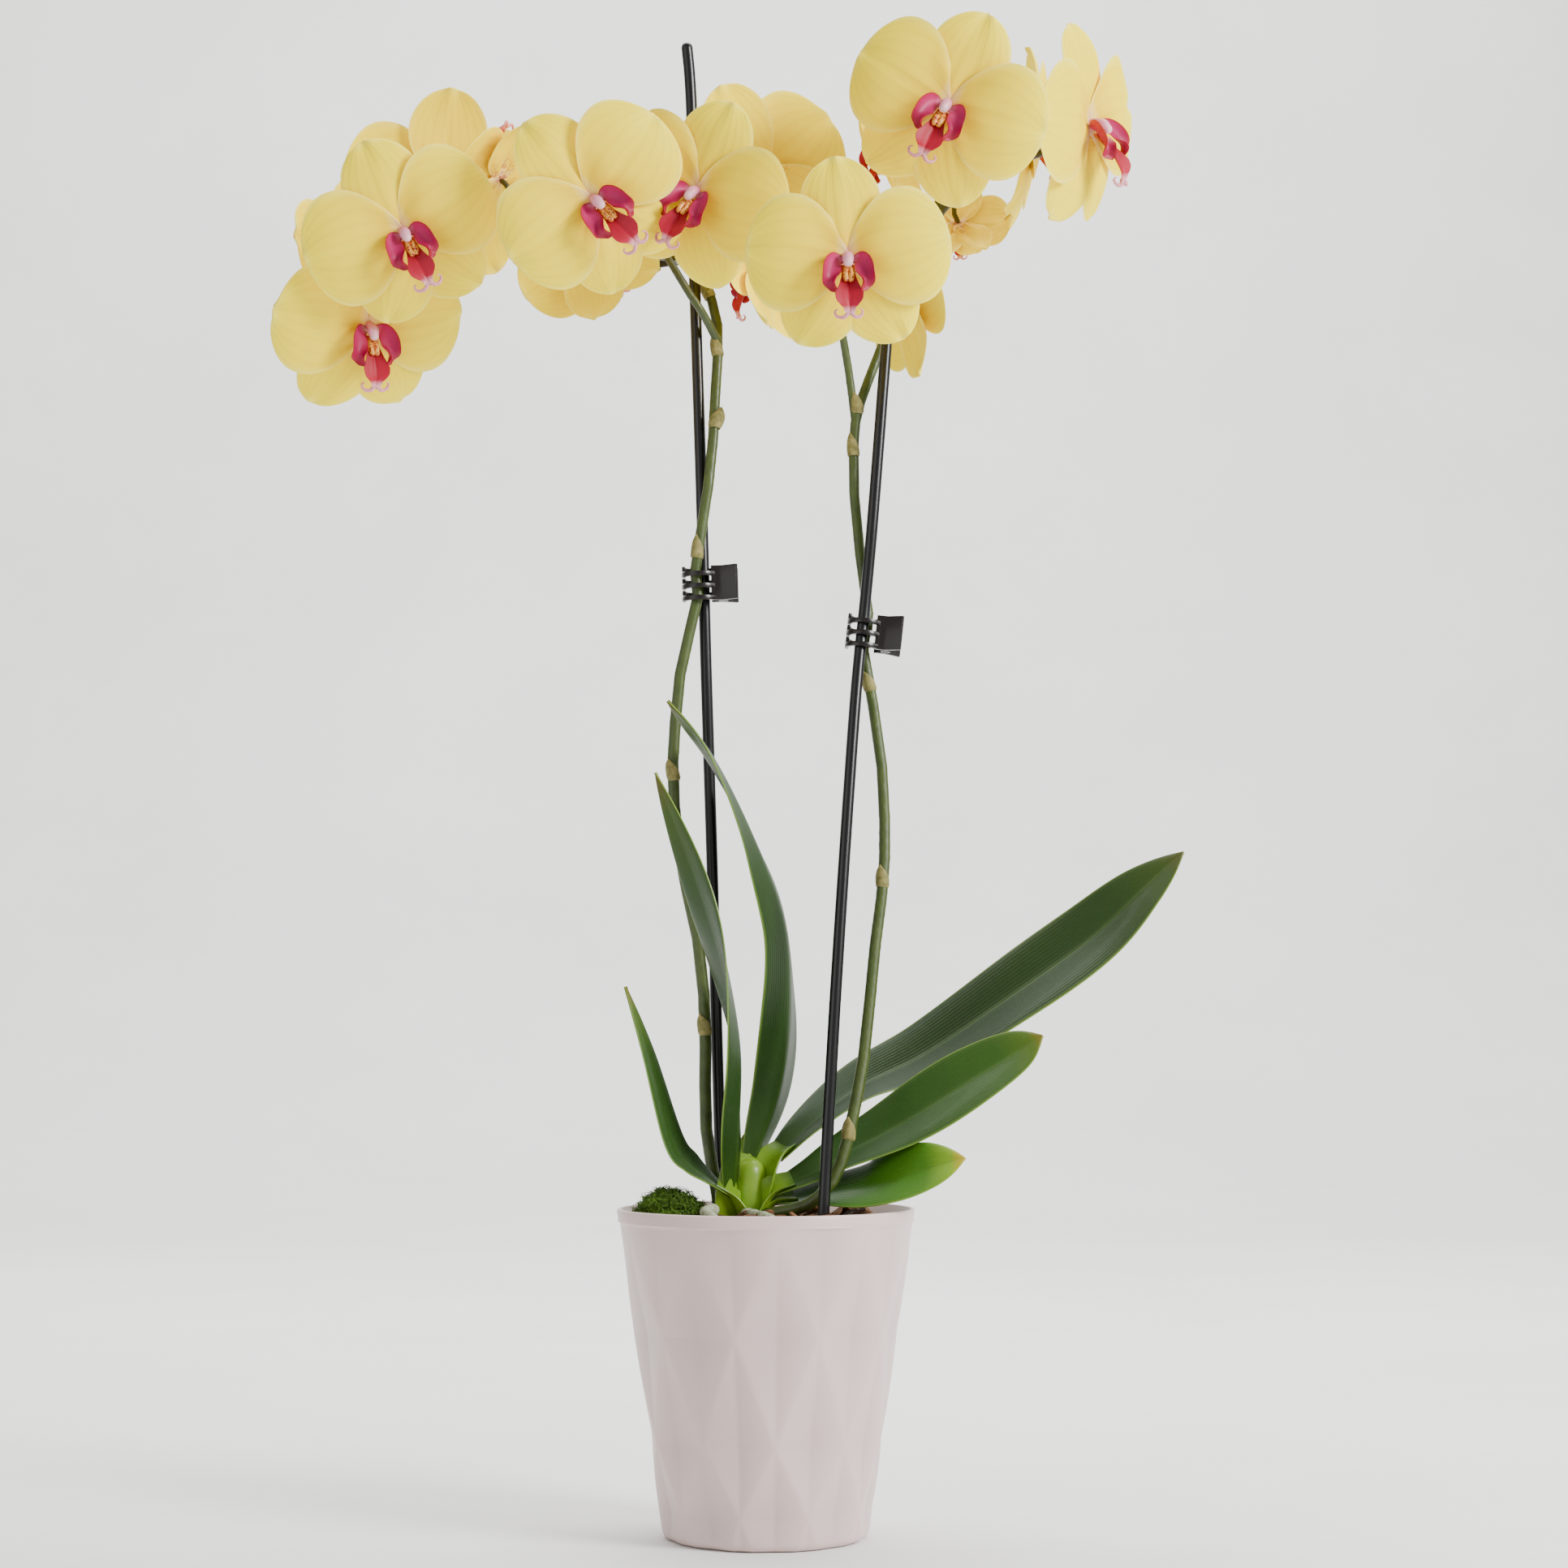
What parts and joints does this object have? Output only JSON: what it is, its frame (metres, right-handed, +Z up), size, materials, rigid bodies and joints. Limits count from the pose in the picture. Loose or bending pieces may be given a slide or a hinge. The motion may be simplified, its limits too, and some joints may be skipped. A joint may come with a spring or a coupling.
{
  "type": "potted orchid",
  "caption": "Moth orchid in a tapered pot with a diamond relief: strap leaves, stems of open yellow blooms held to slim stakes by claw clips.",
  "frame": {"origin": "centre of the pot's flat underside", "axes": "+Z up along the pot's axis and the stakes, -Y towards the front that most blooms face, +X to the right seen from the front"},
  "size_m": [0.3901, 0.1994, 0.6628],
  "materials": {
    "pot": "satin, warm pale grey, diamond relief",
    "grower_pot": "dark translucent-looking thin wall, modelled opaque",
    "bark": "rough bark chips",
    "moss": "soft dull green moss",
    "root": "matt grey-green aerial root",
    "crown": "smooth yellow-green leaf bases",
    "leaf": "waxy dark green",
    "stem": "waxy olive green, darker at the top",
    "stake": "glossy black",
    "clip": "glossy brown-black",
    "petal": "soft matt yellow with a paler rim",
    "lip": "waxy magenta-red with a pale tip"
  },
  "bodies": {
    "root": {"bark_mix": "bark", "bloom_01_lip": "lip", "bloom_01_petals": "petal", "bloom_02_lip": "lip", "bloom_02_petals": "petal", "bloom_03_lip": "lip", "bloom_03_petals": "petal", "bloom_04_lip": "lip", "bloom_04_petals": "petal", "bloom_05_lip": "lip", "bloom_05_petals": "petal", "bloom_06_lip": "lip", "bloom_06_petals": "petal", "bloom_07_lip": "lip", "bloom_07_petals": "petal", "bloom_08_lip": "lip", "bloom_08_petals": "petal", "bloom_09_lip": "lip", "bloom_09_petals": "petal", "bloom_10_lip": "lip", "bloom_10_petals": "petal", "bloom_11_lip": "lip", "bloom_11_petals": "petal", "bloom_12_lip": "lip", "bloom_12_petals": "petal", "bloom_13_lip": "lip", "bloom_13_petals": "petal", "bloom_14_lip": "lip", "bloom_14_petals": "petal", "bloom_15_lip": "lip", "bloom_15_petals": "petal", "bloom_16_lip": "lip", "bloom_16_petals": "petal", "bloom_17_lip": "lip", "bloom_17_petals": "petal", "clip_left_fixed_jaw": "clip", "clip_left_pin": "clip", "clip_right_fixed_jaw": "clip", "clip_right_pin": "clip", "clip_top_fixed_jaw": "clip", "clip_top_pin": "clip", "crown": "crown", "decorative_pot": "pot", "grower_pot": "grower_pot", "leaf_centre_tall": "leaf", "leaf_left_small": "leaf", "leaf_left_tall": "leaf", "leaf_right_large": "leaf", "leaf_right_middle": "leaf", "leaf_right_short": "leaf", "moss": "moss", "root_front": "root", "root_left": "root", "spike_left": "stem", "spike_right": "stem", "stake_left": "stake", "stake_right": "stake"},
    "clip_left_jaw": {"clip_left_moving_jaw": "clip"},
    "clip_right_jaw": {"clip_right_moving_jaw": "clip"},
    "clip_top_jaw": {"clip_top_moving_jaw": "clip"}
  },
  "joints": [
    {"name": "clip_left_hinge", "type": "hinge", "parent": "root", "child": "clip_left_jaw", "pos_m": [-0.01864, -0.00116, 0.40528], "axis": [0.0277, 0.0062, -0.9996], "range_deg": [0, 30], "stiffness_Nm_per_rad": 0.0005, "springref_deg": -20.05},
    {"name": "clip_right_hinge", "type": "hinge", "parent": "root", "child": "clip_right_jaw", "pos_m": [0.05227, -0.00025, 0.3829], "axis": [-0.1104, -0.1025, -0.9886], "range_deg": [0, 30], "stiffness_Nm_per_rad": 0.0005, "springref_deg": -20.05},
    {"name": "clip_top_hinge", "type": "hinge", "parent": "root", "child": "clip_top_jaw", "pos_m": [-0.04083, 0.00687, 0.55573], "axis": [0.0274, -0.01, -0.9996], "range_deg": [0, 30], "stiffness_Nm_per_rad": 0.0005, "springref_deg": -20.05}
  ]
}
